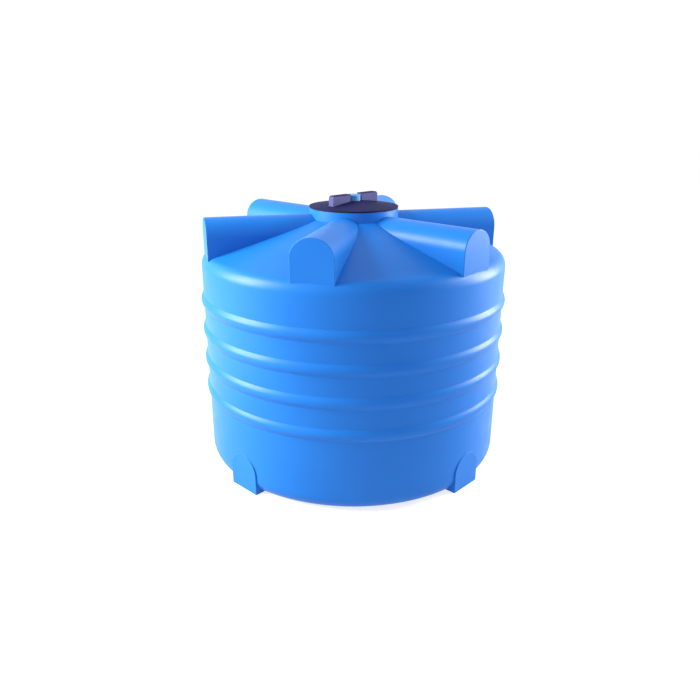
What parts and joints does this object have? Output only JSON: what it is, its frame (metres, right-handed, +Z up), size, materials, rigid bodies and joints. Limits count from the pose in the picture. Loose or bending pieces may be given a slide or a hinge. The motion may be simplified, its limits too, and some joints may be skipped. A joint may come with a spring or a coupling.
{
  "type": "livestock water storage tank",
  "caption": "Closed upright plastic tank that stores drinking water for livestock, with hoop bands, roof vaults, a screw lid and a rear ball-valve outlet for a hose.",
  "frame": {"origin": "on the tank's axis, at the underside of its base", "axes": "+Z up along the tank's axis; +Y towards the rear outlet; +X along two of the roof vaults"},
  "size_m": [1.22, 1.3714, 1.06],
  "materials": {
    "tank_blue": "satin",
    "lid_purple": "satin",
    "black_rubber": "matte",
    "black_plastic": "satin",
    "valve_brass": "satin",
    "white_seal": "satin",
    "ball_chrome": "polished",
    "lever_steel": "zinc-plated",
    "grip_red": "dipped vinyl"
  },
  "bodies": {
    "tank": {"tank_wall": "tank_blue", "tank_roof": "tank_blue", "tank_neck": "tank_blue", "outlet_gasket": "black_rubber", "outlet_body": "black_plastic", "outlet_washer": "black_rubber", "outlet_locknut": "black_plastic", "valve_body": "valve_brass", "valve_seat_inlet": "white_seal", "valve_seat_outlet": "white_seal", "valve_end": "valve_brass", "stem_seal": "white_seal", "gland_nut": "valve_brass", "hose_seal": "black_rubber", "hose_tail": "black_plastic", "hose_nut": "black_plastic"},
    "lid_seal": {"lid_gasket": "black_rubber"},
    "screw_lid": {"lid": "lid_purple", "breather_cap": "tank_blue"},
    "valve_handle": {"valve_lever": "lever_steel", "lever_grip": "grip_red", "lever_nut": "lever_steel", "valve_stem": "valve_brass", "valve_ball": "ball_chrome"}
  },
  "joints": [
    {"name": "lid_rise", "type": "slide", "parent": "tank", "child": "lid_seal", "axis": [0, 0, 1], "range_m": [0, 0.0451]},
    {"name": "lid_unscrew", "type": "hinge", "parent": "lid_seal", "child": "screw_lid", "pos_m": [0, 0, 1.007], "axis": [0, 0, 1], "range_deg": [0, 450]},
    {"name": "valve_turn", "type": "hinge", "parent": "tank", "child": "valve_handle", "pos_m": [0, 0.657, 0.066], "axis": [0, 0, 1], "range_deg": [0, 90]}
  ],
  "couplings": [
    {"joint": "lid_rise", "follows": "lid_unscrew", "m_per_rad": 0.0057296}
  ]
}
